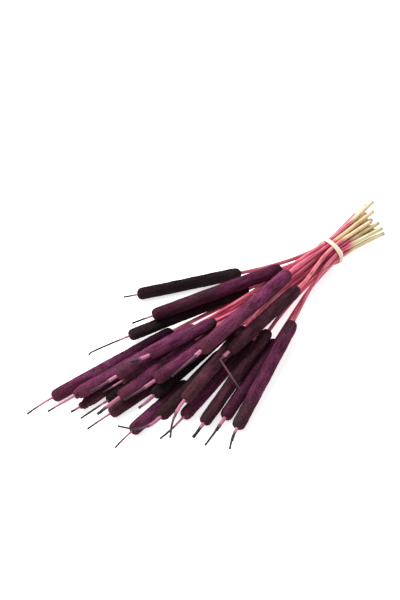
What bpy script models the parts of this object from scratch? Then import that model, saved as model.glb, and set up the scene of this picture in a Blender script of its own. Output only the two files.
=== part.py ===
"""A tied bunch of dyed cattails, lying down.

Twenty-three stalks fan out from one elastic band. Each stalk is two solids: the stem, which
runs from its cut end through the seed head to a bare tip, and the velvety head around it.
The bunch lies along X with its heads towards -X and its cut ends towards +X. It rests on
Z = 0, and its origin is below the middle of its box.
"""
import math
from collections import namedtuple

import bmesh
import bpy
import numpy as np
from mathutils import Matrix, Vector

MM = 0.001

# Stems: diameters at the cut end, below the head, at the head's tip and at the bare end
STEM_CUT = 4.8 * MM
STEM_NECK = 4.4 * MM
STEM_TIP = 3.2 * MM
ROD_END = 1.6 * MM
STEM_SIDES = 6
STEM_STEP = 24 * MM

# Heads: the rounding of both ends, and the taper towards the tip
HEAD_SIDES = 12
HEAD_STEP = 40 * MM
HEAD_TAPER = 0.95
SHOULDERS = ((0.0, 0.50), (2.5 * MM, 0.84), (7.0 * MM, 1.0))
BORE_GAP = 0.3 * MM

# The waist, where the band holds the stems in five layers of close-packed places
WAIST_PITCH = 5.4 * MM
WAIST_RISE = 4.7 * MM
WAIST_PLACES = (4, 5, 6, 5, 4)
END_SPLAY = 0.85
END_CURVE = 1.3
END_SPREAD_AT = 75 * MM

# The band: one endless elastic in three turns, whose last turn crosses back over the others
BAND_THICK = 1.7 * MM
BAND_TURNS = 3
BAND_STEPS = 18
BAND_SIDES = 5
BAND_PITCHES = (1.75 * MM, 1.75 * MM, 1.75 * MM)
BAND_CROSSING = 4
BAND_START = math.radians(215)
BAND_GAP = 0.3 * MM
BAND_AT = -8 * MM

# Settling: the air left between neighbours, and the rounds of pushing apart
CLEARANCE = 0.7 * MM
ROUNDS = 400
PULL = 0.01
STEM_EASE = 0.3
ROD_EASE = 0.5
PULL_UNTIL = 0.7 * ROUNDS
CULL_EVERY = 10
TINY = 1e-9

# Faces that meet at less than this angle are shaded as one smooth surface
SMOOTH_BELOW = math.radians(40)

# One stalk, in millimetres and degrees. From the waist, bearing and reach lead to the head's
# base, and the head runs on at its own heading. Lifts are the heights of its two ends. The rod
# is the bare tip, which turns to its own heading, or folds there after its straight part.
Stalk = namedtuple("Stalk", "bearing reach heading length width base_lift tip_lift "
                            "rod rod_heading straight rod_drop cut dye")


def stalk(bearing, reach, heading, length, width, lifts, rod, cut, dye, straight=0, drop=0):
    """Read one row of the bunch into metres and radians."""
    return Stalk(math.radians(bearing), reach * MM, math.radians(heading), length * MM,
                 width * MM, lifts[0] * MM, lifts[1] * MM, rod[0] * MM,
                 math.radians(rod[1]), straight * MM, drop * MM, cut * MM, dye)


# The layers from the bottom up, each from the left edge (+Y) to the right edge (-Y)
LAYERS = (
    (
        stalk(11, 222, 7.5, 155, 15.0, (8, 8), (33, -3), 72, "violet"),
        stalk(6, 239, 4, 121, 13.0, (7, 7), (11, 11), 62, "maroon"),
        stalk(-0.5, 211, 3, 131, 15.0, (8, 8), (30, 2), 64, "maroon"),
        stalk(-5, 256, -3, 86, 14.5, (7, 7), (26, -10), 50, "violet"),
    ),
    (
        stalk(4, 205, 10, 157, 14.5, (18, 18), (33, 7), 70, "violet"),
        stalk(4, 218, 4, 115, 13.0, (7, 7), (35, 3), 66, "black"),
        stalk(-5.5, 180, 1.5, 120, 14.5, (22, 20), (22, 5), 60, "black"),
        stalk(-6, 167, -13.5, 127, 14.0, (7, 7), (37, -3), 58, "plum"),
        stalk(-17.5, 153, -17, 119, 14.5, (7, 7), (40, -13), 54, "plum"),
    ),
    (
        stalk(26.5, 115, 28.5, 121, 14.5, (9, 8), (16, 32), 60, "black"),
        stalk(10, 123, 19, 145, 14.0, (19, 9), (50, 12), 70, "black"),
        stalk(3.5, 205, 4, 107, 12.5, (21, 22), (24, 0), 64, "maroon"),
        stalk(-1, 224, 5, 105, 14.0, (31, 23), (30, 0), 58, "violet"),
        stalk(-5.5, 204, -11, 113, 14.5, (13, 20), (57, 65), 60, "maroon"),
        stalk(-14.5, 156, -14.5, 136, 14.0, (22, 10), (20, -14), 60, "maroon"),
    ),
    (
        stalk(2.5, 219, 5.5, 100, 13.5, (35, 37), (32, 10), 77, "violet"),
        stalk(-1, 197, 10, 85, 13.5, (40, 44), (22, 26), 64, "violet"),
        stalk(-5.5, 188, 3.5, 106, 15.0, (37, 36), (39, 8), 63, "plum"),
        stalk(-5.5, 172, -15.5, 119, 14.5, (26, 30), (52, -48), 65, "maroon"),
        stalk(-21, 131, -21, 149, 15.0, (20, 9), (27, -38), 61, "plum"),
    ),
    (
        stalk(3, 87, 22, 154, 15.0, (40, 26), (24, 17), 83, "plum"),
        stalk(-5.5, 90, -7.5, 156, 15.5, (45, 57), (46, -5), 71, "plum"),
        stalk(-16, 97, -6.5, 122, 14.5, (37, 41), (54, -80), 56, "maroon", straight=14, drop=13),
    ),
)

DYES = {
    "black": (0.016, 0.007, 0.010, 1.0),
    "plum": (0.050, 0.010, 0.030, 1.0),
    "violet": (0.075, 0.015, 0.055, 1.0),
    "maroon": (0.050, 0.016, 0.022, 1.0),
}
STEM_PINK = (0.74, 0.16, 0.23, 1.0)
BAND_CREAM = (0.93, 0.88, 0.74, 1.0)


def clear_scene():
    """Start from an empty scene."""
    for item in list(bpy.data.objects):
        bpy.data.objects.remove(item, do_unlink=True)


def material(name, colour, roughness, sheen=0.0):
    """One Principled material with a plain colour."""
    made = bpy.data.materials.new(name)
    made.use_nodes = True
    shader = made.node_tree.nodes["Principled BSDF"]
    shader.inputs["Base Color"].default_value = colour
    shader.inputs["Roughness"].default_value = roughness
    shader.inputs["Metallic"].default_value = 0.0
    shader.inputs["Sheen Weight"].default_value = sheen
    made.diffuse_color = colour
    return made


def heading(angle):
    """The level direction that leaves the waist towards the heads at an angle."""
    return np.array([-math.cos(angle), math.sin(angle), 0.0])


def hermite(start, start_way, end, end_way, share):
    """A point on the smooth curve between two points that leaves and arrives in given ways."""
    span = np.linalg.norm(end - start)
    square, cube = share ** 2, share ** 3
    return ((2 * cube - 3 * square + 1) * start + (cube - 2 * square + share) * span * start_way
            + (3 * square - 2 * cube) * end + (cube - square) * span * end_way)


def head_profile(row):
    """The head's stations along its length, with its radius at each."""
    first = list(SHOULDERS)
    last = [(row.length - along, share * HEAD_TAPER) for along, share in reversed(SHOULDERS)]
    start, stop = first[-1][0], last[0][0]
    count = max(1, round((stop - start) / HEAD_STEP))
    middle = []
    for step in range(1, count):
        share = step / count
        middle.append((start + (stop - start) * share, 1 + (HEAD_TAPER - 1) * share))
    return [(along, share * row.width / 2) for along, share in first + middle + last]


class Line:
    """The centreline of one stalk, with the radius that must stay clear at each point."""

    def __init__(self, row, place_y, place_z, floor_z):
        """Lay out the points from the cut end to the bare tip."""
        waist = np.array([0.0, place_y, place_z])
        base = heading(row.bearing) * row.reach + np.array([0, 0, row.base_lift])
        run = heading(row.heading) * row.length
        run[2] = row.tip_lift - row.base_lift
        way = run / np.linalg.norm(run)
        points, radii, stem_radii = [], [], []
        for share in (1.0, 0.5):
            along = row.cut * share
            spread = 1 + END_SPLAY * (along / END_SPREAD_AT) ** END_CURVE
            drop = (floor_z - STEM_CUT / 2) * share ** 2
            points.append((along, place_y * spread, place_z - drop))
            radii.append(STEM_CUT / 2)
        self.waist = len(points)
        count = max(3, round(row.reach / STEM_STEP))
        for step in range(count):
            share = step / count
            points.append(hermite(waist, heading(0), base, way, share))
            radii.append((STEM_CUT + (STEM_NECK - STEM_CUT) * share) / 2)
        self.base = len(points)
        stem_radii += radii
        for along, radius in head_profile(row):
            points.append(base + way * along)
            radii.append(radius)
            stem_radii.append((STEM_NECK + (STEM_TIP - STEM_NECK) * along / row.length) / 2)
        self.tip = len(points) - 1
        rod = self.rod_points(row, points[-1], way)
        for step, point in enumerate(rod, start=1):
            points.append(point)
            radii.append((STEM_TIP + (ROD_END - STEM_TIP) * step / len(rod)) / 2)
            stem_radii.append(radii[-1])
        self.points = np.array(points, float)
        self.radii = np.array(radii, float)
        self.stem_radii = stem_radii
        steps = np.linalg.norm(np.diff(self.points, axis=0), axis=1)
        self.along = np.concatenate([[0.0], np.cumsum(steps)])

    @staticmethod
    def rod_points(row, tip, way):
        """The bare tip: a slow turn to its own heading, or a straight part and a fold."""
        turned = heading(row.rod_heading)
        if row.straight:
            fold = tip + way * row.straight
            rest = turned * (row.rod - row.straight)
            rest[2] -= row.rod_drop
            return [fold, fold + rest * 0.5, fold + rest]
        points = []
        for share in (1 / 3, 2 / 3, 1.0):
            points.append(tip + row.rod * share * (way * (1 - share / 2) + turned * share / 2))
        return points


def lay_out():
    """Give every stalk its place at the waist, and return all centrelines."""
    floor_z = BAND_THICK + BAND_GAP + STEM_CUT / 2
    lines = []
    for level, (rows, places) in enumerate(zip(LAYERS, WAIST_PLACES)):
        for index, row in enumerate(rows):
            place_y = ((places - 1) / 2 - index) * WAIST_PITCH
            lines.append((row, Line(row, place_y, floor_z + level * WAIST_RISE, floor_z)))
    return lines


def closest_shares(p1, q1, p2, q2):
    """How far along each of two rows of segments the closest points lie."""
    run_1, run_2, between = q1 - p1, q2 - p2, p1 - p2
    long_1 = (run_1 * run_1).sum(1)
    long_2 = (run_2 * run_2).sum(1)
    cross = (run_1 * run_2).sum(1)
    off_1 = (run_1 * between).sum(1)
    off_2 = (run_2 * between).sum(1)
    spread = long_1 * long_2 - cross * cross
    slanted = spread > TINY * long_1 * long_2
    share_1 = np.where(slanted, (cross * off_2 - off_1 * long_2) / np.where(slanted, spread, 1), 0.5)
    share_1 = share_1.clip(0, 1)
    share_2 = (cross * share_1 + off_2) / long_2
    held = share_2.clip(0, 1)
    share_1 = np.where(share_2 != held, ((held * cross - off_1) / long_1).clip(0, 1), share_1)
    return share_1, held


class Pile:
    """All stalks together, pushed apart until every pair is clear of each other."""

    def __init__(self, lines):
        """Join the centrelines end to end and list the segments that could meet."""
        self.lines = lines
        counts = [len(line.points) for line in lines]
        self.starts = np.concatenate([[0], np.cumsum(counts)])
        self.wanted = np.concatenate([line.points for line in lines])
        self.radii = np.concatenate([line.radii for line in lines])
        joints = np.arange(self.starts[-1])
        owner = np.repeat(np.arange(len(lines)), counts)
        inner = owner[:-1] == owner[1:]
        self.segments = np.stack([joints[:-1], joints[1:]], axis=1)[inner]
        first, second = np.triu_indices(len(self.segments), 1)
        apart = owner[self.segments[first, 0]] != owner[self.segments[second, 0]]
        self.first, self.second = first[apart], second[apart]

    def near_pairs(self, places):
        """The pairs of segments close enough to touch in the next few rounds."""
        ends = places[self.segments]
        middle = ends.mean(axis=1)
        half = np.linalg.norm(ends[:, 1] - ends[:, 0], axis=1) / 2
        reach = half + self.radii[self.segments].max(axis=1) + CLEARANCE
        gap = np.linalg.norm(middle[self.first] - middle[self.second], axis=1)
        near = gap < reach[self.first] + reach[self.second]
        return self.segments[self.first[near]], self.segments[self.second[near]]

    def pushes(self, places, pairs):
        """Move both segments of each pair that is too close, half of the way each."""
        a, b = pairs
        share_a, share_b = closest_shares(places[a[:, 0]], places[a[:, 1]],
                                          places[b[:, 0]], places[b[:, 1]])
        weights = ((a[:, 0], 1 - share_a, 1), (a[:, 1], share_a, 1),
                   (b[:, 0], 1 - share_b, -1), (b[:, 1], share_b, -1))
        point_a = places[a[:, 0]] * (1 - share_a)[:, None] + places[a[:, 1]] * share_a[:, None]
        point_b = places[b[:, 0]] * (1 - share_b)[:, None] + places[b[:, 1]] * share_b[:, None]
        radius_a = self.radii[a[:, 0]] * (1 - share_a) + self.radii[a[:, 1]] * share_a
        radius_b = self.radii[b[:, 0]] * (1 - share_b) + self.radii[b[:, 1]] * share_b
        between = point_a - point_b
        gap = np.maximum(np.linalg.norm(between, axis=1), TINY)
        short = np.maximum(radius_a + radius_b + CLEARANCE - gap, 0)
        move = between * (short / gap / 2)[:, None]
        total = np.zeros_like(places)
        count = np.zeros(len(places))
        for index, weight, sign in weights:
            np.add.at(total, index, sign * move * weight[:, None])
            np.add.at(count, index, weight * (short > 0))
        return total / np.maximum(count, 1)[:, None]

    def stiffen(self, shift, line):
        """Hold a stalk at the waist, ease its stem and keep its head straight."""
        along = line.along
        shift[line.waist] = 0
        bends = list(range(1, line.waist)) + list(range(line.waist + 1, line.base))
        for k in bends:
            share = (along[k] - along[k - 1]) / (along[k + 1] - along[k - 1])
            even = shift[k - 1] * (1 - share) + shift[k + 1] * share
            shift[k] += STEM_EASE * (even - shift[k])
        head = slice(line.base, line.tip + 1)
        reach = along[head] - along[head].mean()
        slope = (reach[:, None] * shift[head]).sum(axis=0) / (reach ** 2).sum()
        shift[head] = shift[head].mean(axis=0) + reach[:, None] * slope
        for k in range(line.tip + 1, len(along)):
            even = shift[line.tip] + (along[k] - along[line.tip]) * slope
            shift[k] += ROD_EASE * (even - shift[k])

    def settle(self):
        """Push the stalks apart, and write their places back into the centrelines."""
        places = self.wanted.copy()
        for turn in range(ROUNDS):
            if turn % CULL_EVERY == 0:
                pairs = self.near_pairs(places)
            shift = places + self.pushes(places, pairs) - self.wanted
            shift[:, 2] += np.maximum(self.radii - (self.wanted + shift)[:, 2], 0)
            shift *= 1 - PULL * max(0.0, 1 - turn / PULL_UNTIL)
            for line, start, stop in zip(self.lines, self.starts, self.starts[1:]):
                self.stiffen(shift[start:stop], line)
            places = self.wanted + shift
            places[:, 2] = np.maximum(places[:, 2], self.radii)
        for line, start, stop in zip(self.lines, self.starts, self.starts[1:]):
            line.points = places[start:stop]


def frames(points, closed=False):
    """An upright frame at each point of a path, square to the path there."""
    path = [Vector(point) for point in points]
    count = len(path)
    made = []
    side = None
    for index, place in enumerate(path):
        before = path[index - 1] if index or closed else place
        after = path[(index + 1) % count] if index < count - 1 or closed else place
        way = (after - before).normalized()
        if side is None:
            side = way.cross(Vector((0, 0, 1))).normalized()
        side = (side - way * side.dot(way)).normalized()
        up = side.cross(way)
        made.append(Matrix((side, up, -way)).transposed().to_4x4())
        made[-1].translation = place
    return made


def sweep(mesh, stations, sides, closed):
    """Extrude a ring of corners through stations, each a frame with its radius."""
    first_frame, first_radius = stations[0]
    ring = bmesh.ops.create_circle(mesh, cap_ends=not closed, segments=sides,
                                   radius=first_radius, matrix=first_frame)["verts"]
    first_edges = [edge for edge in mesh.edges]
    edges = first_edges
    before = first_frame @ Matrix.Scale(first_radius, 4)
    for frame, radius in stations[1:]:
        grown = bmesh.ops.extrude_edge_only(mesh, edges=edges)["geom"]
        ring = [item for item in grown if isinstance(item, bmesh.types.BMVert)]
        edges = [item for item in grown if isinstance(item, bmesh.types.BMEdge)]
        edges = [edge for edge in edges if all(vert in ring for vert in edge.verts)]
        after = frame @ Matrix.Scale(radius, 4)
        bmesh.ops.transform(mesh, matrix=after @ before.inverted(), verts=ring)
        before = after
    if closed:
        bmesh.ops.bridge_loops(mesh, edges=first_edges + edges)
    else:
        bmesh.ops.contextual_create(mesh, geom=edges)


def solid(name, mesh, finish):
    """Turn a closed bmesh into an object with one material."""
    bmesh.ops.recalc_face_normals(mesh, faces=mesh.faces)
    data = bpy.data.meshes.new(name)
    mesh.to_mesh(data)
    mesh.free()
    data.materials.append(finish)
    data.shade_smooth()
    data.set_sharp_from_angle(angle=SMOOTH_BELOW)
    made = bpy.data.objects.new(name, data)
    bpy.context.collection.objects.link(made)
    return made


def make_stem(name, line, finish):
    """The whole stem, from the cut end through the head to the bare tip."""
    inside = range(line.base + 1, line.tip)
    keep = [k for k in range(len(line.points)) if k not in inside]
    radii = [line.stem_radii[k] for k in keep]
    stations = list(zip(frames(line.points[keep]), radii))
    mesh = bmesh.new()
    sweep(mesh, stations, STEM_SIDES, closed=False)
    return solid(name, mesh, finish)


def make_head(name, row, line, finish):
    """The seed head, a blunt velvety sleeve around its stem."""
    base = Vector(line.points[line.base])
    way = (Vector(line.points[line.tip]) - base).normalized()
    side = way.cross(Vector((0, 0, 1))).normalized()
    turned = Matrix((side, side.cross(way), -way)).transposed().to_4x4()
    length = (Vector(line.points[line.tip]) - base).length
    corner = 1 / math.cos(math.pi / STEM_SIDES)
    bore_base = (STEM_NECK / 2 + BORE_GAP) * corner
    bore_tip = (STEM_TIP / 2 + BORE_GAP) * corner
    profile = [(0.0, bore_base)] + head_profile(row) + [(length, bore_tip)]
    stations = []
    for along, radius in profile:
        frame = Matrix.Translation(base + way * min(along, length)) @ turned
        stations.append((frame, radius))
    mesh = bmesh.new()
    sweep(mesh, stations, HEAD_SIDES, closed=True)
    return solid(name, mesh, finish)


def outermost(lines, turn, half_width):
    """Where the outermost stem's centre lies in one direction across the waist."""
    way = np.array([math.cos(turn), math.sin(turn)])
    places = []
    for _, line in lines:
        stem = line.points[:line.base]
        for x in (BAND_AT - half_width, BAND_AT, BAND_AT + half_width):
            places.append([np.interp(-x, -stem[:, 0], stem[:, axis]) for axis in (1, 2)])
    places = np.array(places)
    return places[(places @ way).argmax()], way


def make_band(lines, finish):
    """The elastic: three turns side by side, the last crossing back over the others."""
    radius = BAND_THICK / 2
    count = BAND_TURNS * BAND_STEPS
    width = sum(BAND_PITCHES)
    points = []
    for step in range(count):
        turn = step / BAND_STEPS
        whole = min(int(turn), len(BAND_PITCHES) - 1)
        along = min(sum(BAND_PITCHES[:whole]) + BAND_PITCHES[whole] * (turn - whole), width)
        out = STEM_CUT / 2 + BAND_GAP + radius
        crossed = step - (count - BAND_CROSSING)
        if crossed >= 0:
            along = width * (1 - (crossed + 0.5) / BAND_CROSSING)
            out += BAND_THICK + BAND_GAP
        place, way = outermost(lines, BAND_START + 2 * math.pi * turn, width / 2 + radius)
        points.append((BAND_AT + along - width / 2, *(place + way * out)))
    stations = [(frame, radius) for frame in frames(points, closed=True)]
    mesh = bmesh.new()
    sweep(mesh, stations, BAND_SIDES, closed=True)
    return solid("tie", mesh, finish)


def centre_on_floor(objects):
    """Shift every mesh so that the origin is below the middle of the bunch's box."""
    corners = np.array([vertex.co for item in objects for vertex in item.data.vertices])
    low, high = corners.min(axis=0), corners.max(axis=0)
    shift = Matrix.Translation((-(low[0] + high[0]) / 2, -(low[1] + high[1]) / 2, -low[2]))
    for item in objects:
        item.data.transform(shift)


def main():
    """Model the bunch."""
    clear_scene()
    lines = lay_out()
    Pile([line for _, line in lines]).settle()
    stem_finish = material("stem_pink", STEM_PINK, 0.55)
    dyed = {name: material("head_" + name, colour, 0.95, 0.3) for name, colour in DYES.items()}
    made = []
    for number, (row, line) in enumerate(lines, start=1):
        made.append(make_stem(f"stem_{number:02d}", line, stem_finish))
        made.append(make_head(f"head_{number:02d}", row, line, dyed[row.dye]))
    made.append(make_band(lines, material("band_cream", BAND_CREAM, 0.5)))
    centre_on_floor(made)


main()
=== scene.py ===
# %% [markdown]
# # A tied bunch of dyed cattails
# Twenty-three dried cattail stalks lie fanned out on a table, held together near their cut ends
# by one cream elastic. Each stalk is a pink-dyed stem that runs through a velvety brown-purple
# seed head and comes out again as a thin bare tip. The solids of the bunch are already placed,
# so this notebook only gives them their looks: the nap of the heads, the fibres and cuts of the
# stems, the rubber of the band, and the light. Everything is in metres.

import math
import random
from collections import namedtuple

import bpy
import numpy as np
from mathutils import Matrix, Vector, noise


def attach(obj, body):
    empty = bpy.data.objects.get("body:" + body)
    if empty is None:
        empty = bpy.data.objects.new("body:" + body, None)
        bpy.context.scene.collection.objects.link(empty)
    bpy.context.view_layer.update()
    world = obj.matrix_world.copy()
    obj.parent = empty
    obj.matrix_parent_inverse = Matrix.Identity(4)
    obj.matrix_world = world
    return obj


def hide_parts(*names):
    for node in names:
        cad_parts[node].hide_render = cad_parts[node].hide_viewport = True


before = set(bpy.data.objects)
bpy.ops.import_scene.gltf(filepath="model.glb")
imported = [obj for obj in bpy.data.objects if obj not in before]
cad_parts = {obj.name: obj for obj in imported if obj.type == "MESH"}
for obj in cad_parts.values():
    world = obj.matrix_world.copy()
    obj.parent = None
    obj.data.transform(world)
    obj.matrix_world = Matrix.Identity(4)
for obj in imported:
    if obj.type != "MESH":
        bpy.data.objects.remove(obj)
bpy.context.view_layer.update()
MM = 0.001
COUNT = sum(name.startswith("head_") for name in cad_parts)

# %% [markdown]
# Blender's operators act on whatever is selected, and the loaded solids start out selected.
# These helpers pick one object, or the faces and edges of it that pass a test on their place.
# Two more keep values on a mesh's corners for its material, and count triangles.

# %% Picking things


def pick(*objects):
    """Select only these objects, and make the first one active."""
    bpy.ops.object.select_all(action="DESELECT")
    for item in objects:
        item.select_set(True)
    if objects:
        bpy.context.view_layer.objects.active = objects[0]


def mark(item, kind, test):
    """In object mode, mark the edges or polygons of a mesh whose corners pass a test."""
    mesh = item.data
    for group in (mesh.vertices, mesh.edges, mesh.polygons):
        group.foreach_set("select", np.zeros(len(group), bool))
    for part in getattr(mesh, kind):
        part.select = bool(test([mesh.vertices[corner].co for corner in part.vertices]))


def edit(item, kind="FACE"):
    """Open a mesh for editing, with its marked parts selected."""
    pick(item)
    bpy.ops.object.mode_set(mode="EDIT")
    bpy.context.tool_settings.mesh_select_mode = (False, kind == "EDGE", kind == "FACE")


def done():
    """Close the mesh that is being edited."""
    bpy.ops.object.mode_set(mode="OBJECT")


def apply_modifiers(item):
    """Make an object's modifiers a lasting part of its mesh."""
    pick(item)
    for modifier in list(item.modifiers):
        bpy.ops.object.modifier_apply(modifier=modifier.name)


def store(item, **values):
    """Keep numbers or places per vertex, under names that the materials can read."""
    for name, row in values.items():
        row = np.asarray(row, float)
        kind, field = ("FLOAT_VECTOR", "vector") if row.ndim == 2 else ("FLOAT", "value")
        layer = item.data.attributes.new(name, kind, "POINT")
        layer.data.foreach_set(field, row.ravel())


def triangles(*items):
    """How many triangles some meshes come to."""
    return sum(len(item.data.loops) - 2 * len(item.data.polygons) for item in items)


print("objects selected after loading:", len(bpy.context.selected_objects))

# %% [markdown]
# The stalks' routes are read from the solids. A stem's solid is a chain of six-cornered rings,
# so walking outwards from the ring at the cut end finds them one after another. The solid has
# no ring inside its head, which makes the longest step between rings the head's own span. The
# third ring lies at the waist of the bunch. A head narrows towards its tip, so its width there
# is measured over its last stretch alone.

# %% Read each stalk's route
STEM_CORNERS = 6
WAIST_RING = 2
WELD = 0.01 * MM
NARROW_STRETCH = 10 * MM


def merged_copy(node, name):
    """A copy of a solid's mesh whose loose triangles are joined at their corners."""
    copy = bpy.data.objects.new(name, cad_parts[node].data.copy())
    bpy.context.collection.objects.link(copy)
    edit(copy)
    bpy.ops.mesh.select_all(action="SELECT")
    bpy.ops.mesh.remove_doubles(threshold=WELD)
    done()
    return copy


def rings_of(mesh, first):
    """The rings of a swept solid, in order from the given first one."""
    near = [set() for _ in mesh.vertices]
    for edge in mesh.edges:
        a, b = edge.vertices
        near[a].add(b)
        near[b].add(a)
    found, seen = [set(first)], set(first)
    while found[-1]:
        found.append({corner for known in found[-1] for corner in near[known]} - seen)
        seen |= found[-1]
    return [np.array([mesh.vertices[index].co for index in ring]) for ring in found[:-1]]


class Stalk:
    """One stalk's route: its stem's points and radii, and where its head starts and stops."""

    def __init__(self, number):
        """Read one stem and its head."""
        self.number = number
        copy = merged_copy(f"stem_{number:02d}", "stem_copy")
        spots = np.array([vertex.co for vertex in copy.data.vertices])
        rings = rings_of(copy.data, np.argsort(-spots[:, 0])[:STEM_CORNERS])
        bpy.data.objects.remove(copy)
        self.points = np.array([ring.mean(axis=0) for ring in rings])
        self.radii = np.array([np.linalg.norm(ring - ring.mean(axis=0), axis=1).max()
                               for ring in rings])
        steps = np.linalg.norm(np.diff(self.points, axis=0), axis=1)
        self.along = np.concatenate([[0.0], np.cumsum(steps)])
        self.base = int(steps.argmax())
        self.tip = self.base + 1
        self.waist = self.along[WAIST_RING]
        self.length = steps[self.base]
        self.way = Vector((self.points[self.tip] - self.points[self.base]) / self.length)

        copy = merged_copy(f"head_{number:02d}", "head_copy")
        off = np.array([vertex.co for vertex in copy.data.vertices]) - self.points[self.base]
        bpy.data.objects.remove(copy)
        depth = off @ np.array(self.way)
        wide = np.linalg.norm(off - depth[:, None] * np.array(self.way), axis=1)
        self.width = wide.max()
        self.narrow = wide[depth > self.length - NARROW_STRETCH].max()


stalks = [Stalk(number) for number in range(1, COUNT + 1)]
waist = np.mean([stalk.points[WAIST_RING] for stalk in stalks], axis=0)
print("waist at", waist.round(4), "heads", [round(stalk.length / MM) for stalk in stalks])

# %% [markdown]
# The camera looks down on the bunch from the heads' side, as a person at the table would. Its
# place is measured from the waist, where the elastic is, so the tie lies in the upper right of
# an upright picture and the heads fan out towards the lower left.

# %% Camera
EYE = Vector((-0.8566, -0.6628, 1.1147))
LOOK_AT = Vector((-0.1594, 0.0592, 0.0))
LENS_MM = 79.83
SENSOR_MM = 36.0
waist_spot = Vector((waist[0], waist[1], 0.0))
pick()
bpy.ops.object.camera_add(location=waist_spot + EYE,
                          rotation=(LOOK_AT - EYE).to_track_quat("-Z", "Y").to_euler())
camera = bpy.context.active_object
camera.data.lens = LENS_MM
camera.data.sensor_width = SENSOR_MM
camera.data.sensor_fit = "AUTO"
bpy.context.scene.camera = camera
print("camera at", [round(value, 3) for value in camera.location])

# %% [markdown]
# ## Dyes and fibres
# Every finish here is a small node tree on a Principled shader. What never varies over a
# surface, such as the sheen of the nap, is set on the shader's own sockets. What varies is
# mixed from noise, and from values that each mesh carries on its corners. Things look about a
# fifth brighter in this light than their own albedo, so each colour is written as it looks here
# and divided by that glare to get the colour of the stuff itself.

# %% Helpers for node trees
GLARE = 1.2


def seen(red, green, blue):
    """The albedo behind a colour from 0 to 255 as it looks in this light."""
    shares = [value / 255 for value in (red, green, blue)]
    linear = [s / 12.92 if s <= 0.04045 else ((s + 0.055) / 1.055) ** 2.4 for s in shares]
    return (*(value / GLARE for value in linear), 1.0)


class Finish:
    """A Principled material that is being put together node by node."""

    def __init__(self, name, **constants):
        """Start with the values that are the same all over the surface."""
        self.made = bpy.data.materials.new(name)
        self.made.use_nodes = True
        self.tree = self.made.node_tree
        self.shader = self.tree.nodes["Principled BSDF"]
        for socket, value in constants.items():
            self.shader.inputs[socket.replace("_", " ")].default_value = value

    def node(self, kind, settings=None, **sockets):
        """Add a node, set its options, and fill its sockets with values or links."""
        made = self.tree.nodes.new("ShaderNode" + kind)
        for option, value in (settings or {}).items():
            setattr(made, option, value)
        for socket, value in sockets.items():
            slot = made.inputs[int(socket[1:])] if socket[1:].isdigit() else made.inputs[socket]
            if isinstance(value, bpy.types.NodeSocket):
                self.tree.links.new(value, slot)
            else:
                slot.default_value = value
        return made

    def value(self, name):
        """A number that is stored on the mesh."""
        return self.node("Attribute", {"attribute_name": name}).outputs["Fac"]

    def place(self, name, scale=(1, 1, 1)):
        """A place that is stored on the mesh, stretched by a scale."""
        spot = self.node("Attribute", {"attribute_name": name}).outputs["Vector"]
        return self.node("Mapping", Vector=spot, Scale=scale).outputs["Vector"]

    def noise(self, place, scale, detail=2.0, roughness=0.5):
        """Soft random values at a scale, in waves for each metre."""
        return self.node("TexNoise", Vector=place, Scale=scale, Detail=detail,
                         Roughness=roughness).outputs["Fac"]

    def stretch(self, value, low, high, out_low=0.0, out_high=1.0):
        """Map a range of values onto another, smoothly and clamped."""
        return self.node("MapRange", {"interpolation_type": "SMOOTHSTEP"}, Value=value,
                         _1=low, _2=high, _3=out_low, _4=out_high).outputs["Result"]

    def math(self, operation, first, second=0.0):
        """One sum on two values."""
        return self.node("Math", {"operation": operation}, _0=first, _1=second).outputs["Value"]

    def mix(self, share, first, second):
        """One colour laid over another."""
        made = self.node("Mix", {"data_type": "RGBA", "clamp_factor": True},
                         _0=share, _6=first, _7=second)
        return made.outputs[2]

    def shade(self, colour, share):
        """A colour made darker or lighter by a value."""
        grey = self.node("CombineColor", _0=share, _1=share, _2=share).outputs[0]
        made = self.node("Mix", {"data_type": "RGBA", "blend_type": "MULTIPLY"},
                         _0=1.0, _6=colour, _7=grey)
        return made.outputs[2]

    def paint(self, colour, height, distance, strength):
        """Join the colour and the fine relief to the shader."""
        self.tree.links.new(colour, self.shader.inputs["Base Color"])
        bump = self.node("Bump", Strength=strength, Distance=distance, Height=height)
        self.tree.links.new(bump.outputs["Normal"], self.shader.inputs["Normal"])
        return self.made


print("glare:", GLARE, "white paper's albedo here:", [round(v, 2) for v in seen(255, 255, 255)])

# %% [markdown]
# The nap took the dye unevenly. Its colour wanders between a deep and a faded tone, in soft
# streaks along the head and broader mottling, and where it is worn it shows a dull olive. The
# tips of most heads are browner. The velvet's own mark is its sheen, a pale edge where the
# hairs stand against the light.

# %% Velvet of the heads
OLIVE = seen(60, 52, 50)
# Each noise in waves for each metre, and how it is stretched along the head
STREAKS, STREAK_STRETCH = 420, (1, 1, 0.12)
MOTTLES, PATCHES, PATCH_STRETCH = 130, 42, (1, 1, 0.4)
SPECKS = 800
NAP_RELIEF = 0.4 * MM


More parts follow.
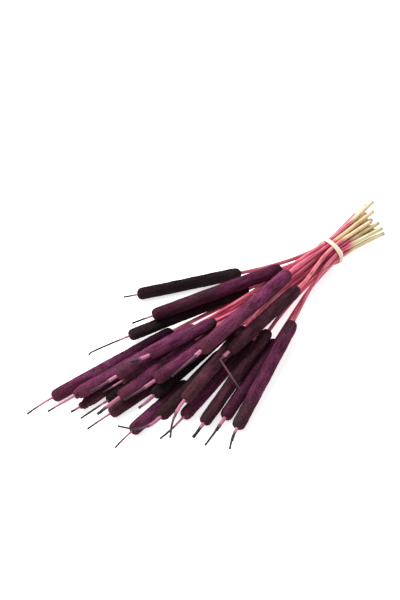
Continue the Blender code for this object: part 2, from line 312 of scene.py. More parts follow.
def velvet(name, deep, faded, browned, sheen):
    """The nap of a dyed seed head."""
    nap = Finish(name, Roughness=1.0, Sheen_Weight=sheen, Sheen_Roughness=0.4,
                 Sheen_Tint=faded, Specular_IOR_Level=0.05)
    streaks = nap.noise(nap.place("grain", STREAK_STRETCH), STREAKS, 3.0, 0.6)
    mottle = nap.noise(nap.place("grain", PATCH_STRETCH), MOTTLES, 4.0, 0.6)
    patches = nap.noise(nap.place("grain", PATCH_STRETCH), PATCHES, 3.0, 0.6)
    specks = nap.noise(nap.place("grain"), SPECKS, 3.0, 0.65)
    blend = nap.math("ADD", nap.math("MULTIPLY", streaks, 0.5), nap.math("MULTIPLY", mottle, 0.5))
    colour = nap.mix(nap.stretch(blend, 0.36, 0.64), deep, faded)
    ends = nap.math("MULTIPLY", nap.value("browned"), nap.stretch(mottle, 0.3, 0.6, 0.6, 1.0))
    colour = nap.mix(ends, colour, browned)
    worn = nap.math("MULTIPLY", nap.stretch(patches, 0.48, 0.66), nap.value("worn"))
    colour = nap.mix(worn, colour, OLIVE)
    # The tone is partly painted light: heads that lie in shade are given a lighter one.
    dark = nap.math("MULTIPLY", nap.stretch(specks, 0.32, 0.64, 0.50, 1.28), nap.value("tone"))
    relief = nap.math("ADD", nap.math("MULTIPLY", mottle, 0.8), specks)
    return nap.paint(nap.shade(colour, dark), relief, NAP_RELIEF, 0.7)


# Each dye's deep and faded tone, what its browned tips look like, and its sheen
VELVETS = {
    "black": velvet("velvet_black", seen(26, 18, 21), seen(42, 30, 34), seen(46, 28, 34), 0.03),
    "plum": velvet("velvet_plum", seen(78, 30, 54), seen(124, 60, 94), seen(80, 42, 52), 0.10),
    "violet": velvet("velvet_violet", seen(84, 32, 62), seen(134, 68, 104), seen(86, 44, 56), 0.10),
    "maroon": velvet("velvet_maroon", seen(64, 34, 42), seen(104, 60, 76), seen(72, 42, 48), 0.08),
}
print("velvets:", ", ".join(VELVETS))

# %% [markdown]
# The stems look as if they had been dipped head first: the dye reaches about as far as the
# elastic and fades into bare straw there, further on some stems than on others. No two took the
# same pink: some are magenta, some salmon. Beyond the head the bare tip is a cooler pink that
# dulls to charcoal. Fine fibres run all along, so their noise is stretched twenty times
# lengthwise.

# %% Stem straw, dye and char
# The first four run from their darker fibres to their paler ones
MAGENTA = (seen(208, 50, 100), seen(248, 136, 166))
SALMON = (seen(226, 92, 110), seen(252, 170, 166))
PEACH_STRAW = (seen(238, 186, 138), seen(255, 238, 206))
GREEN_STRAW = (seen(226, 206, 118), seen(255, 252, 216))
DEEP_PINK = seen(176, 28, 74)
PALE_PINK = seen(252, 184, 188)
BROWN_STRAW = seen(214, 172, 112)
COOL_PINK = seen(214, 132, 164)
DULL_PINK = seen(116, 76, 92)
CHARCOAL = seen(42, 34, 38)
BRUISED_STRAW = seen(176, 168, 138)
PITH_CREAM = seen(232, 214, 170)
SCORCH = seen(170, 92, 56)
FIBRES, FIBRE_STRETCH = 900, (1, 1, 0.05)
BLOTCHES, BLOTCH_STRETCH = 110, (1, 1, 0.25)
FIBRE_RELIEF = 0.2 * MM


def stem_fibre():
    """A dyed stem: straw near its cut end, pink along its length, and dull at its bare tip."""
    stem = Finish("dyed_stem", Roughness=0.45, Specular_IOR_Level=0.3)
    fibre = stem.noise(stem.place("grain", FIBRE_STRETCH), FIBRES, 3.0, 0.6)
    blotch = stem.noise(stem.place("grain", BLOTCH_STRETCH), BLOTCHES, 3.0, 0.6)
    magenta = stem.mix(stem.stretch(fibre, 0.3, 0.7), *MAGENTA)
    salmon = stem.mix(stem.stretch(fibre, 0.3, 0.7), *SALMON)
    pink = stem.mix(stem.value("salmon"), magenta, salmon)
    pink = stem.mix(stem.stretch(blotch, 0.50, 0.68, 0.0, 0.7), pink, DEEP_PINK)
    pink = stem.mix(stem.stretch(blotch, 0.44, 0.30, 0.0, 0.5), pink, PALE_PINK)
    peach = stem.mix(stem.stretch(fibre, 0.3, 0.7), *PEACH_STRAW)
    green = stem.mix(stem.stretch(fibre, 0.3, 0.7), *GREEN_STRAW)
    straw = stem.mix(stem.value("green"), peach, green)
    straw = stem.mix(stem.stretch(blotch, 0.50, 0.70, 0.0, 0.6), straw, BROWN_STRAW)
    ragged = stem.math("ADD", stem.value("bleached"), stem.math("MULTIPLY", fibre, 0.5))
    colour = stem.mix(stem.stretch(ragged, 0.50, 1.00), pink, straw)
    bare = stem.math("ADD", stem.value("spent"), stem.math("MULTIPLY", blotch, 0.3))
    colour = stem.mix(stem.stretch(bare, 0.10, 0.40), colour, COOL_PINK)
    colour = stem.mix(stem.stretch(bare, 0.75, 1.05), colour, DULL_PINK)
    colour = stem.mix(stem.stretch(bare, 1.15, 1.45), colour, CHARCOAL)
    colour = stem.mix(stem.value("bruised"), colour, BRUISED_STRAW)
    colour = stem.mix(stem.value("pith"), colour, PITH_CREAM)
    colour = stem.mix(stem.value("scorched"), colour, SCORCH)
    relief = stem.math("ADD", fibre, blotch)
    # The tone is partly painted shade, darkening the stems that lie deep in the bunch.
    return stem.paint(stem.shade(colour, stem.value("tone")), relief, FIBRE_RELIEF, 0.6)


STEM_FINISH = stem_fibre()
print("stem finish nodes:", len(STEM_FINISH.node_tree.nodes))

# %% [markdown]
# The elastic is plain matt rubber. A little light goes into it and comes out again, which the
# shader's subsurface gives, and a dusty noise keeps it from looking like plastic.

# %% Rubber of the elastic
CREAM = (seen(252, 236, 206), seen(255, 252, 238))
DUST = 900
DUST_RELIEF = 0.1 * MM


def rubber():
    """Cream rubber with a faint dusty grain."""
    band = Finish("cream_rubber", Roughness=0.5, Subsurface_Weight=0.15,
                  Subsurface_Radius=(0.003, 0.002, 0.0012), Subsurface_Scale=1.0)
    dust = band.noise(band.node("TexCoord").outputs["Object"], DUST, 3.0, 0.6)
    colour = band.mix(band.stretch(dust, 0.3, 0.7), *CREAM)
    return band.paint(colour, dust, DUST_RELIEF, 0.4)


RUBBER_FINISH = rubber()
print("rubber finish nodes:", len(RUBBER_FINISH.node_tree.nodes))

# %% [markdown]
# ## The seed heads
# A cattail head is thousands of tiny seeds packed round the stem, whose hairs make a dense
# brown velvet. It is a long sausage with blunt round ends, slightly narrower towards the tip,
# and the stem enters and leaves through a small dimple. One cone primitive, nearly a cylinder,
# gives the tapered body. A bevel rounds its rims, an inset and a push make the dimples, and a
# bridge between the two dimples opens the way for the stem. Then the body is cut into short
# cells, and both ends are drawn in a little further, the base more than the tip.

# %% Shape one head
HEAD_SIDES = 44
RIM_STEPS = 7
CELL = 1.15 * MM
SLIM = 0.985
BORE = 2.1 * MM
PAST_BORE = BORE * 1.2
LIP = 0.35 * MM
DIMPLE = 0.8 * MM
# Over what length a head is drawn in at each end, and by what share of its width
BASE_FALL = (13 * MM, 0.26)
TIP_FALL = (9 * MM, 0.15)


def plain_head(stalk):
    """A smooth head that stands on its base at the origin."""
    pick()
    bpy.ops.mesh.primitive_cone_add(vertices=HEAD_SIDES, radius1=stalk.width * SLIM,
                                    radius2=stalk.narrow * SLIM, depth=stalk.length,
                                    location=(0, 0, stalk.length / 2), end_fill_type="NGON")
    head = bpy.context.active_object
    head.name = f"velvet_head_{stalk.number:02d}"
    bpy.ops.object.transform_apply(location=True, rotation=True, scale=True)

    shoulder = stalk.narrow * SLIM - BORE - LIP
    mark(head, "edges", lambda ends: abs(ends[0].z - ends[1].z) < MM)
    edit(head, "EDGE")
    bpy.ops.mesh.bevel(offset=shoulder, segments=RIM_STEPS, profile=0.5, affect="EDGES")
    done()

    mark(head, "polygons", lambda corners: len(corners) > 4)
    edit(head)
    bpy.ops.mesh.inset(thickness=LIP, use_individual=True)
    bpy.ops.transform.resize(value=(1, 1, 1 - 2 * DIMPLE / stalk.length),
                             center_override=(0, 0, stalk.length / 2))
    bpy.ops.mesh.delete(type="ONLY_FACE")
    bpy.ops.mesh.select_all(action="DESELECT")
    done()

    used = {}
    for face in head.data.polygons:
        for key in face.edge_keys:
            used[key] = used.get(key, 0) + 1
    for edge in head.data.edges:
        edge.select = used.get(edge.key, 0) == 1
    edit(head, "EDGE")
    bpy.ops.mesh.bridge_edge_loops()
    done()

    mark(head, "edges", lambda ends: abs(ends[0].z - ends[1].z) > stalk.length / 2
         and (ends[0].xy.length + ends[1].xy.length) / 2 > stalk.narrow * 0.8)
    edit(head, "EDGE")
    bpy.ops.mesh.subdivide(number_cuts=round((stalk.length - 2 * shoulder) / CELL))
    done()
    for vertex in head.data.vertices:
        if vertex.co.xy.length > PAST_BORE:
            for depth, (fall, by) in ((vertex.co.z, BASE_FALL),
                                      (stalk.length - vertex.co.z, TIP_FALL)):
                vertex.co.xy *= 1 - by * (1 - min(1.0, max(depth, 0.0) / fall)) ** 2
    return head


print("head radii:", sorted({round(stalk.width / MM, 2) for stalk in stalks}))

# %% [markdown]
# No two heads are alike. Soft lumps and a fine unevenness come from two displacements, made
# where the head lies, so that every head gets its own. Two of the heads have ragged, shedding
# tips, which are eaten away in clumps. The lowest heads rest on the table, so nothing of them
# may sink below it.

# %% Make it grow unevenly
# How large each unevenness is, and how strong
LUMPS = {"lumps": (14 * MM, 0.9 * MM), "unevenness": (2.2 * MM, 0.4 * MM)}
# How much of the head is ragged, for the two heads that shed
RAGGED = {2: 16 * MM, 5: 9 * MM}
CLUMPS_PER_METRE = 420
EATEN = 0.30
EATEN_BY_CLUMP = 0.45
REST = 0.15 * MM
textures = {}
for title, (size, _) in LUMPS.items():
    textures[title] = bpy.data.textures.new(title, "CLOUDS")
    textures[title].noise_scale = size
    textures[title].noise_depth = 2


def fray(head, stalk, torn):
    """Eat away at the last stretch of an upright head in clumps."""
    for vertex in head.data.vertices:
        near = (vertex.co.z - (stalk.length - torn)) / torn
        if near > 0 and vertex.co.xy.length > PAST_BORE:
            clump = noise.noise(vertex.co * CLUMPS_PER_METRE + Vector((stalk.number, 0, 0)))
            vertex.co.xy *= 1 - min(1.0, near * 1.6) * (EATEN + EATEN_BY_CLUMP * clump)


def roughen(head):
    """Displace a head's skin where it lies, and keep it above the table."""
    for title, (_, strength) in LUMPS.items():
        swell = head.modifiers.new(title, "DISPLACE")
        swell.texture = textures[title]
        swell.texture_coords = "LOCAL"
        swell.strength = strength
        swell.mid_level = 0.5
    apply_modifiers(head)
    for vertex in head.data.vertices:
        vertex.co.z = max(vertex.co.z, REST)


print("displacements:", ", ".join(LUMPS), "and ragged tips on heads", sorted(RAGGED))

# %% [markdown]
# The nap itself is a layer of very short hairs. Geometry Nodes scatters points over the skin,
# puts a tiny three-sided spike on each, leans it a random way and makes all of it real mesh.
# Each mesh says with its "skin" value where hair may grow, which leaves out the dimples and
# what touches the table. One node group serves every head.

# %% Grow the nap
HAIR_LONG = 0.75 * MM
HAIR_WIDE = 0.085 * MM
HAIR_SIZES = (0.5, 1.15)
HAIRS_PER_SQUARE_METRE = 1.35e6
LEAN = 0.5
SCATTER_SEED = 3


def nap_group():
    """Spikes on the skin of a mesh, joined to it."""
    group = bpy.data.node_groups.new("nap", "GeometryNodeTree")
    group.interface.new_socket("Geometry", in_out="INPUT", socket_type="NodeSocketGeometry")
    group.interface.new_socket("Geometry", in_out="OUTPUT", socket_type="NodeSocketGeometry")
    link = group.links.new

    def add(kind, settings=None, **sockets):
        """Add a node, set its options, and fill its sockets with values or links."""
        made = group.nodes.new(kind)
        for option, value in (settings or {}).items():
            setattr(made, option, value)
        for socket, value in sockets.items():
            slot = made.inputs[int(socket[1:])] if socket[1:].isdigit() \
                else made.inputs[socket.replace("_", " ")]
            if isinstance(value, bpy.types.NodeSocket):
                link(value, slot)
            else:
                slot.default_value = value
        return made

    start = add("NodeGroupInput").outputs[0]
    skin = add("GeometryNodeInputNamedAttribute", {"data_type": "FLOAT"}, Name="skin")
    density = add("ShaderNodeMath", {"operation": "MULTIPLY"}, _0=skin.outputs["Attribute"],
                  _1=HAIRS_PER_SQUARE_METRE)
    scatter = add("GeometryNodeDistributePointsOnFaces", Mesh=start, Density=density.outputs[0],
                  Seed=SCATTER_SEED)
    spike = add("GeometryNodeMeshCone", {"fill_type": "NGON"}, Vertices=3, Radius_Top=0.0,
                Radius_Bottom=HAIR_WIDE, Depth=HAIR_LONG)
    lean = add("FunctionNodeRandomValue", {"data_type": "FLOAT_VECTOR"},
               _0=(-LEAN, -LEAN, -math.pi), _1=(LEAN, LEAN, math.pi))
    size = add("FunctionNodeRandomValue", {"data_type": "FLOAT"}, _2=HAIR_SIZES[0],
               _3=HAIR_SIZES[1])
    turn = add("FunctionNodeRotateRotation", {"rotation_space": "LOCAL"},
               _0=scatter.outputs["Rotation"], _1=lean.outputs[0])
    hairs = add("GeometryNodeInstanceOnPoints", Points=scatter.outputs["Points"],
                Instance=spike.outputs["Mesh"], Rotation=turn.outputs[0], Scale=size.outputs[1])
    real = add("GeometryNodeRealizeInstances", Geometry=hairs.outputs["Instances"])
    join = add("GeometryNodeJoinGeometry")
    link(real.outputs["Geometry"], join.inputs["Geometry"])
    link(start, join.inputs["Geometry"])
    add("NodeGroupOutput", _0=join.outputs["Geometry"])
    return group


NAP = nap_group()
print("nap nodes:", len(NAP.nodes))

# %% [markdown]
# Each head has its own strength of dye, adjusted until its tone came near to that of the same
# head in the photograph, and its own share of worn olive. Part of that strength is painted light:
# a head that lies deep in shade, such as head 12, is made lighter to lift it out of the shade.
# The outer heads at the back took the dye almost black, and the front ones are softer. A head's
# upright coordinates are stored as "grain" before it is turned onto its stalk, so that the
# streaks of its nap run along it. Each head is turned about itself and its grain is shifted, so
# that no two look alike.

# %% Dress every head
# For each head: how light its dye is, partly painted light that lifts the heads lying in shade,
# how worn its nap is, and how brown its tip is
Dyeing = namedtuple("Dyeing", "dye tone worn brown")
DYEING = {
    1: Dyeing("violet", 0.95, 0.3, 0.9), 2: Dyeing("maroon", 1.45, 0.4, 0.6),
    3: Dyeing("maroon", 1.25, 0.3, 0.8), 4: Dyeing("violet", 0.85, 0.4, 0.7),
    5: Dyeing("violet", 1.35, 0.5, 0.7), 6: Dyeing("black", 1.65, 0.2, 0.3),
    7: Dyeing("black", 1.85, 0.2, 0.2), 8: Dyeing("plum", 1.45, 0.6, 1.0),
    9: Dyeing("plum", 0.84, 0.6, 0.6), 10: Dyeing("black", 1.30, 0.3, 0.6),
    11: Dyeing("black", 1.50, 0.3, 0.9), 12: Dyeing("maroon", 3.00, 0.5, 0.5),
    13: Dyeing("violet", 1.32, 0.6, 1.0), 14: Dyeing("maroon", 0.64, 0.9, 0.8),
    15: Dyeing("maroon", 0.92, 0.6, 0.8), 16: Dyeing("violet", 1.20, 0.5, 1.0),
    17: Dyeing("violet", 0.88, 1.0, 0.5), 18: Dyeing("plum", 1.25, 0.5, 0.8),
    19: Dyeing("maroon", 1.35, 0.5, 1.0), 20: Dyeing("plum", 1.00, 0.8, 0.9),
    21: Dyeing("plum", 0.74, 0.6, 0.8), 22: Dyeing("plum", 1.38, 0.3, 1.0),
    23: Dyeing("maroon", 0.74, 1.0, 0.5),
}
# Heads that are darker for some way from their base: how dark, and for what share of them
DARK_BASES = {1: (0.16, 0.65), 21: (0.60, 0.14)}
EVEN_BASE = (1.0, 0.1)
HEAD_TURN = 2.4
GRAIN_SHIFT = 0.31
BALD_RIM = 0.3 * MM


def turned_onto(stalk):
    """The placing that carries an upright head onto its stalk."""
    turn = stalk.way.to_track_quat("Z", "Y").to_matrix().to_4x4()
    return Matrix.Translation(stalk.points[stalk.base]) @ turn


def dress_head(stalk):
    """Model, place and finish one head."""
    head = plain_head(stalk)
    head.data.transform(Matrix.Rotation(stalk.number * HEAD_TURN, 4, "Z"))
    upright = np.array([vertex.co for vertex in head.data.vertices])
    if stalk.number in RAGGED:
        fray(head, stalk, RAGGED[stalk.number])
    head.data.transform(turned_onto(stalk))
    roughen(head)
    looks = DYEING[stalk.number]
    share = upright[:, 2] / stalk.length
    low = np.array([vertex.co.z for vertex in head.data.vertices]) < HAIR_LONG
    inner = np.linalg.norm(upright[:, :2], axis=1) < BORE + BALD_RIM
    dark, until = DARK_BASES.get(stalk.number, EVEN_BASE)
    base_tone = np.interp(share, [until / 3, until], [dark, 1.0])
    # The stored tone is partly painted light, lifting the heads that lie in shade.
    store(head, grain=upright + [0, 0, stalk.number * GRAIN_SHIFT],
          tone=looks.tone * base_tone, worn=np.full(len(upright), looks.worn),
          browned=looks.brown * np.interp(share, [0.0, 0.1, 0.7, 0.97], [0.3, 0.0, 0.0, 1.0]),
          skin=np.where(inner | low, 0.0, 1.0))
    grow = head.modifiers.new("nap", "NODES")
    grow.node_group = NAP
    apply_modifiers(head)
    head.data.materials.clear()
    head.data.materials.append(VELVETS[looks.dye])
    head.data.polygons.foreach_set("material_index", np.zeros(len(head.data.polygons), int))
    pick(head)
    bpy.ops.object.shade_smooth()
    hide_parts(f"head_{stalk.number:02d}")
    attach(head, "root")
    return head


heads = [dress_head(stalk) for stalk in stalks]
print("head triangles:", triangles(*heads))

# %% [markdown]
# ## The stems
# A stem is a smooth, slightly ribbed straw. Its cut end is a little slanted and shows paler
# pith. Beyond the head, the stem goes on as the bare rod that carried the male
# flowers: a thick pink root, on some a dark and bumpy stretch, then a thin dull end. Each stem
# is a curve through its route with a round bevel, made a mesh, and then worked on.

# %% What each bare tip looks like
# root: the share of its length that is thick, thick: the radius there in millimetres,
# bumpy: the share at which a bumpy stretch ends, thin: the radius of the rest,
# pink: the share at which the pink has dulled, char: the share at which it is charcoal
Tip = namedtuple("Tip", "root thick bumpy thin pink char")
TIPS = {
    1: Tip(0.10, 1.2, 0.0, 1.00, 0.70, 0.95),
    2: Tip(0.30, 1.3, 0.0, 1.10, 0.55, 0.80),
    3: Tip(0.10, 1.2, 0.0, 0.95, 0.62, 0.90),
    4: Tip(0.10, 1.1, 0.0, 0.95, 0.50, 0.80),
    5: Tip(0.20, 1.2, 0.0, 1.05, 0.88, 1.00),
    6: Tip(0.15, 1.2, 0.0, 0.95, 0.32, 0.55),
    7: Tip(0.60, 1.6, 0.0, 1.30, 0.95, 1.30),
    8: Tip(0.15, 1.2, 0.0, 1.00, 0.45, 0.80),
    9: Tip(0.33, 1.8, 0.46, 1.05, 0.30, 0.42),
    10: Tip(0.10, 1.1, 0.0, 0.95, 0.42, 0.62),
    11: Tip(0.08, 1.2, 0.0, 0.95, 0.26, 0.50),
    12: Tip(0.15, 1.2, 0.0, 1.00, 0.55, 0.95),
    13: Tip(0.68, 1.7, 0.90, 1.25, 0.68, 0.88),
    14: Tip(0.38, 1.5, 0.46, 0.95, 0.36, 0.80),
    15: Tip(0.38, 1.8, 0.95, 1.30, 0.36, 0.50),
    16: Tip(0.35, 1.6, 0.0, 0.95, 0.35, 1.20),
    17: Tip(0.55, 1.5, 0.90, 1.30, 0.52, 0.72),
    18: Tip(0.42, 1.6, 0.0, 1.00, 0.42, 1.25),
    19: Tip(0.40, 1.5, 0.52, 1.00, 0.42, 0.88),
    20: Tip(0.22, 1.7, 0.62, 1.05, 0.24, 0.36),
    21: Tip(0.12, 1.2, 0.0, 1.00, 0.36, 0.52),
    22: Tip(0.22, 1.6, 0.0, 1.00, 0.22, 1.30),
    23: Tip(0.16, 1.6, 0.0, 0.90, 0.17, 1.40),
}
print("thickest bare tip:", max(tip.thick for tip in TIPS.values()), "mm")

# %% [markdown]
# The route's points are tens of millimetres apart, so a smooth curve is drawn through them
# first. It goes straight through the head, and one bare tip is snapped: it keeps its sharp
# fold. Another ends in a tiny hook. The straw is drawn a little slimmer than its solid, which
# leaves room for its ribs, and the bare tips a little thicker, which keeps them from thinning
# away at this picture's size.

# %% Lay one stem along its route
STEM_STEP = 5 * MM
TIP_STEP = 1 * MM
ROUND = 4
ROUNDING = 0.001
STRAW_SLIM = 0.97
TIP_FAT = 1.15
BUMPY_SLIM = 0.86
FOLDED = 23
HOOKED = 11
HOOK = 5 * MM
HOOK_WAY = np.array([-0.2, -2.2]) * MM


def smooth_path(stalk):
    """The route as closely set points on one smooth curve, and how far along each lies."""
    points = stalk.points
    ends = np.vstack([2 * points[0] - points[1], points, 2 * points[-1] - points[-2]])
    placed, along = [], []
    for index in range(len(points) - 1):
        before, here, after, beyond = ends[index:index + 4]
        leave, arrive = (after - before) / 2, (beyond - here) / 2
        reach = stalk.along[index + 1] - stalk.along[index]
        count = max(2, round(reach / (TIP_STEP if index >= stalk.tip else STEM_STEP)))
        if index == stalk.base:
            leave, arrive, count = after - here, after - here, 4
        elif stalk.number == FOLDED and index >= stalk.tip:
            leave, arrive = after - here, after - here
        elif index == stalk.tip:
            leave = np.array(stalk.way) * reach
        for share in np.arange(count) / count:
            square, cube = share ** 2, share ** 3
            placed.append((2 * cube - 3 * square + 1) * here + (cube - 2 * square + share) * leave
                          + (3 * square - 2 * cube) * after + (cube - square) * arrive)
            along.append(stalk.along[index] + reach * share)
    return np.array(placed + [points[-1]]), np.array(along + [stalk.along[-1]])


def tip_radius(tip, share):
    """How thick a bare tip is at a share of its length, in millimetres."""
    swell = max(tip.bumpy, tip.root)
    if share < tip.root:
        return tip.thick
    if share < swell:
        return tip.thick * BUMPY_SLIM
    return tip.thin * (1.05 - 0.15 * (share - swell) / max(0.01, 1 - swell))


def lay_stem(stalk):
    """A round tube through a stalk's route."""
    points, along = smooth_path(stalk)
    share = (along - stalk.along[stalk.tip]) / (stalk.along[-1] - stalk.along[stalk.tip])
    radii = np.interp(along, stalk.along, stalk.radii * STRAW_SLIM)
    bare = np.array([tip_radius(TIPS[stalk.number], value) for value in share]) * TIP_FAT * MM
    radii = np.where(share > -ROUNDING, bare, radii)
    if stalk.number == HOOKED:
        late = np.clip((along - along[-1] + HOOK) / HOOK, 0, 1)
        points[:, :2] += np.outer(late ** 2, HOOK_WAY)
    pick()
    bpy.ops.curve.primitive_bezier_curve_add(location=(0, 0, 0))
    curve = bpy.context.active_object
    curve.name = f"dyed_stem_{stalk.number:02d}"
    curve.data.dimensions = "3D"
    curve.data.bevel_depth = MM
    curve.data.bevel_resolution = ROUND
    curve.data.use_fill_caps = True
    route = curve.data.splines[0]
    route.type = "POLY"
    route.points.add(len(points) - len(route.points))
    for knot, point, radius in zip(route.points, points, radii):
        knot.co = (*point, 1.0)
        knot.radius = radius / MM
    pick(curve)
    bpy.ops.object.convert(target="MESH")
    stem = bpy.context.active_object
    edit(stem)
    bpy.ops.mesh.select_all(action="SELECT")
    bpy.ops.mesh.remove_doubles(threshold=WELD)
    bpy.ops.mesh.normals_make_consistent(inside=False)
    done()
    return stem, points, along


print("folded tip:", FOLDED, "hooked tip:", HOOKED)

# %% [markdown]
# The cut end is slanted by turning its end face about its middle. A rim is inset there, and
# the pith inside it is pushed in a little, as it dries and shrinks more than the rind does.

# %% Cut the end slantwise
PITH_RIM = 0.7 * MM
PITH_DEPTH = 0.5 * MM
PITH_SHRINK = 0.8
END_REACH = 4 * MM
# The most that a cut leans up or down, and to the side, in degrees
LEAN_UP = 28
LEAN_SIDE = 22


def cut_end(stem, stalk, draw):
    """Slant the cut end, and sink its pith a little."""
    end = Vector(stalk.points[0])
    mark(stem, "polygons", lambda corners: len(corners) > 4
         and all((corner - end).length < END_REACH for corner in corners))
    edit(stem)
    for axis, most in (("Y", LEAN_UP), ("Z", LEAN_SIDE)):
        bpy.ops.transform.rotate(value=math.radians(draw.uniform(-most, most)),
                                 orient_axis=axis, center_override=end)
    bpy.ops.mesh.inset(thickness=PITH_RIM)
    bpy.ops.mesh.extrude_region_move(TRANSFORM_OT_translate={"value": (-PITH_DEPTH, 0, 0)})
    bpy.ops.transform.resize(value=(PITH_SHRINK, PITH_SHRINK, PITH_SHRINK))
    done()


print("pith:", PITH_DEPTH / MM, "mm deep")

# %% [markdown]
# Every corner of a stem needs to know how far along its stalk it lies, because the colour
# depends on it: straw near the cut end, pink in the middle, dull or charred at the bare tip.
# The nearest stretch of the route gives that, and the offset from the route gives the straight
# coordinates that the fibres are drawn in.

# %% Measure along the route


def measure(stem, points, along):
    """Each corner's nearest spot on the route, its offset, and its straight coordinates."""
    spots = np.array([vertex.co for vertex in stem.data.vertices])
    runs = np.diff(points, axis=0)
    squares = (runs ** 2).sum(axis=1)
    share = ((spots[:, None] - points[None, :-1]) * runs).sum(axis=2) / squares
    share = share.clip(0, 1)
    nearest = points[None, :-1] + share[:, :, None] * runs
    best = np.linalg.norm(spots[:, None] - nearest, axis=2).argmin(axis=1)
    rows = np.arange(len(spots))
    centre = nearest[rows, best]
    way = runs[best] / np.sqrt(squares[best])[:, None]
    side = np.stack([-way[:, 1], way[:, 0], np.zeros(len(way))], axis=1)
    side /= np.linalg.norm(side, axis=1)[:, None]
    up = np.cross(side, way)
    off = spots - centre
    far = along[best] + share[rows, best] * (along[best + 1] - along[best])
    return centre, off, np.stack([(off * side).sum(axis=1), (off * up).sum(axis=1), far], axis=1)


print("longest stem:", round(max(stalk.along[-1] for stalk in stalks), 3), "m")

# %% [markdown]
# The straw has faint ribs and its thickness wavers, and the bare tips are bumpy where flowers
# dropped off. All of it scales the offsets from the route by smooth noise, and what the table
# carries stays above it. The same pass stores what the finish reads: how bleached, spent or
# bruised each corner is. How far the dye reached past the elastic, and the mix of pinks, were
# judged from the photograph for the stems that show and drawn at random for the rest. Every
# stem takes its draws, used or not, so that a new value for one leaves the others as they are.

# %% Roughen and colour the stems
STRAW_LONG = 28 * MM
# Each unevenness is a share of the radius, and a wave count for each metre of stem
RIB, RIBS_PER_METRE = 0.06, 30
WAVER, WAVERS_PER_METRE = 0.04, 90
BUMP, BUMPS_PER_METRE = 0.30, 520
# How far the noise is shifted from one stem to the next
WAVER_SHIFT = 7.7
BUMP_SHIFT = 3.1
# How fast the noise of ribs and bumps changes round the stem
RIB_ROUND = 2.2
BUMP_ROUND = 0.8
SMOOTH_TIP = 0.4
BLUNT, BLUNT_SWELL = 1.5 * MM, 0.15
BRUISE = 2.5 * MM
PITH_SHARE = 0.72
# How many millimetres past the elastic the dye reached, and between what values it is drawn
REACH_DRAWN = (-6, 10)
DYE_REACH = {10: 62, 16: 54, 21: 38, 22: 2, 23: 8, 19: 22, 20: 16, 15: 9, 13: 24, 14: 10, 7: 30,
             5: 30, 17: 12}
# How salmon rather than magenta a stem is, and how light, and between what values they are drawn;
# the lightness is partly painted shade, kept low to darken the stems lying deep in the bunch
SALMON_DRAWN = (0, 0.4)
LIGHTNESS_AND_SHADE_DRAWN = (0.70, 1.00)
SHADES = {1: (0.5, 0.75), 5: (0.1, 0.85), 9: (0.2, 0.95), 10: (0.3, 0.62), 11: (0.1, 0.80),
          15: (0.2, 0.95), 16: (0.2, 0.90), 17: (0.0, 1.00), 19: (0.0, 0.95), 20: (0.4, 0.95),
          21: (0.3, 1.10), 22: (0.3, 1.05), 23: (0.8, 1.10)}
# One stem has a scorched knot on the heads' side of the elastic
KNOT_STEM = 23
KNOT_AT = 66 * MM
KNOT_LONG = 2.5 * MM
# How far each stem's grain is shifted from the last one's
GRAIN_SHIFTS = (0.113, 0.071, 0.29)


def weather(stem, stalk, points, along, draw):
    """Ribs and wavers on the straw, bumps on the bare tip, and the values for its colours."""
    centre, off, grain = measure(stem, points, along)
    tip = TIPS[stalk.number]
    far = grain[:, 2]
    share = (far - stalk.along[stalk.tip]) / (stalk.along[-1] - stalk.along[stalk.tip])
    swell = np.zeros(len(off))
    for index, (side, up, reach) in enumerate(grain):
        turn = math.atan2(up, side)
        x, y = math.cos(turn), math.sin(turn)
        rib = noise.noise((x * RIB_ROUND, y * RIB_ROUND, reach * RIBS_PER_METRE + stalk.number))
        waver = noise.noise((reach * WAVERS_PER_METRE, stalk.number * WAVER_SHIFT, 0))
        swell[index] = RIB * rib + WAVER * waver
        if share[index] > tip.root * 0.5:
            rough = 1.0 if share[index] < tip.bumpy else SMOOTH_TIP
            bump = noise.noise((x * BUMP_ROUND, y * BUMP_ROUND,
                                reach * BUMPS_PER_METRE + stalk.number * BUMP_SHIFT))
            swell[index] += BUMP * rough * bump
    swell += np.where(far > stalk.along[-1] - BLUNT, BLUNT_SWELL, 0.0)
    drawn = draw.uniform(*SALMON_DRAWN), draw.uniform(*LIGHTNESS_AND_SHADE_DRAWN)
    # The lightness is partly painted shade, lower for stems that lie deep in the bunch.
    salmon, tone = SHADES.get(stalk.number, drawn)
    reached = DYE_REACH.get(stalk.number, draw.uniform(*REACH_DRAWN)) * MM
    beyond = stalk.waist - far - reached
    dull = np.interp(share, [0.0, 0.02, tip.pink * 0.6, tip.pink, tip.char],
                     [0.0, 0.3, 0.4, 0.9, 1.45])
    inner = np.linalg.norm(grain[:, :2], axis=1) < stalk.radii[0] * PITH_SHARE
    knot = abs(far - stalk.waist - KNOT_AT) < KNOT_LONG if stalk.number == KNOT_STEM else False
    shift = stalk.number * np.array(GRAIN_SHIFTS)
    count = len(far)
    store(stem, grain=grain + shift, bleached=(beyond / STRAW_LONG + 0.5).clip(0, 1),
          spent=np.where(share > 0, dull, -0.3), bruised=(0.8 * (1 - far / BRUISE)).clip(0, 1),
          pith=np.where(inner & (far < BRUISE), 1.0, 0.0), salmon=np.full(count, salmon),
          green=np.full(count, draw.random()), tone=np.full(count, tone),
          scorched=np.where(knot, 0.8, 0.0) * np.ones(count))
    spots = centre + off * (1 + swell)[:, None]
    spots[:, 2] = spots[:, 2].clip(REST)
    stem.data.vertices.foreach_set("co", spots.ravel())


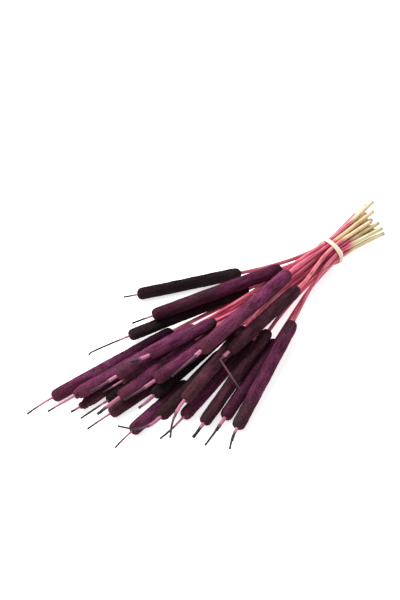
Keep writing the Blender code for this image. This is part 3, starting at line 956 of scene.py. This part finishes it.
draw = random.Random(7)
stems = []
for stalk in stalks:
    stem, points, along = lay_stem(stalk)
    cut_end(stem, stalk, draw)
    weather(stem, stalk, points, along, draw)
    stem.data.materials.clear()
    stem.data.materials.append(STEM_FINISH)
    pick(stem)
    bpy.ops.object.shade_smooth_by_angle(angle=math.radians(50))
    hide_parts(f"stem_{stalk.number:02d}")
    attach(stem, "root")
    stems.append(stem)
print("stem triangles:", triangles(*stems))

# %% [markdown]
# ## The elastic
# One endless elastic is wound round the stems three times, and its last turn crosses over the
# others on the near side. The solid already follows that winding, so a copy of it is fattened
# until the turns press together as one band, drawn snugly onto the stems, and subdivided until
# its section is round and soft. Where the bunch lies on it, the table presses it flat.

# %% Round off the elastic
FATTEN = 0.45 * MM
SNUG = 0.97
QUAD_ANGLE = math.radians(60)
band = merged_copy("tie", "cream_elastic")
edit(band)
bpy.ops.mesh.select_all(action="SELECT")
bpy.ops.mesh.normals_make_consistent(inside=False)
bpy.ops.transform.shrink_fatten(value=FATTEN)
bpy.ops.transform.resize(value=(1, SNUG, SNUG), center_override=waist)
bpy.ops.mesh.tris_convert_to_quads(face_threshold=QUAD_ANGLE, shape_threshold=QUAD_ANGLE)
done()
rounder = band.modifiers.new("rounder", "SUBSURF")
rounder.levels = rounder.render_levels = 2
apply_modifiers(band)
for vertex in band.data.vertices:
    vertex.co.z = max(vertex.co.z, REST)
band.data.materials.clear()
band.data.materials.append(RUBBER_FINISH)
pick(band)
bpy.ops.object.shade_smooth()
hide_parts("tie")
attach(band, "root")
print("elastic triangles:", triangles(band))

# %% [markdown]
# ## Floor and light
# The bunch lies on a plain white table, as in a product picture. One very broad soft light
# stands above and behind it to the left, and an even surround fills the rest. The table glows
# faintly, as a photographer's light table does, which burns it out to white with hardly any
# shadow on it, while each head still turns from a lit upper left side to a dark lower right one.
# It is far larger than a real table, so that a view from 15 degrees up doesn't see its edge.

# %% Floor and light
TABLE_SIZE = 80.0
TABLE_GLOW = 0.7
pick()
bpy.ops.mesh.primitive_plane_add(size=TABLE_SIZE, location=(0, 0, 0))
table = bpy.context.active_object
table.name = "table"
white = Finish("table_white", Roughness=0.9, Specular_IOR_Level=0.1,
               Emission_Strength=TABLE_GLOW, Emission_Color=(1, 1, 1, 1))
cloud = white.noise(white.node("TexCoord").outputs["Object"], 3.0)
tone = white.mix(cloud, (0.94, 0.94, 0.94, 1.0), (0.98, 0.98, 0.98, 1.0))
table.data.materials.append(white.paint(tone, cloud, 0.0001, 0.1))

KEY_AT = Vector((-0.3, 1.1, 1.6))
KEY_AIM = Vector((0, 0, 0.02))
KEY_WATTS = 68.0
KEY_SIZE = 2.0
SURROUND_STRENGTH = 0.42
pick()
bpy.ops.object.light_add(type="AREA", location=KEY_AT,
                         rotation=(KEY_AIM - KEY_AT).to_track_quat("-Z", "Y").to_euler())
key = bpy.context.active_object
key.name = "key"
key.data.energy = KEY_WATTS
key.data.size = KEY_SIZE
surround = bpy.data.worlds.new("surround")
surround.use_nodes = True
background = surround.node_tree.nodes["Background"]
background.inputs["Strength"].default_value = SURROUND_STRENGTH
background.inputs["Color"].default_value = (1, 1, 1, 1)
bpy.context.scene.world = surround
bpy.context.scene.view_settings.view_transform = "Standard"
print("key light:", key.data.energy, "W")
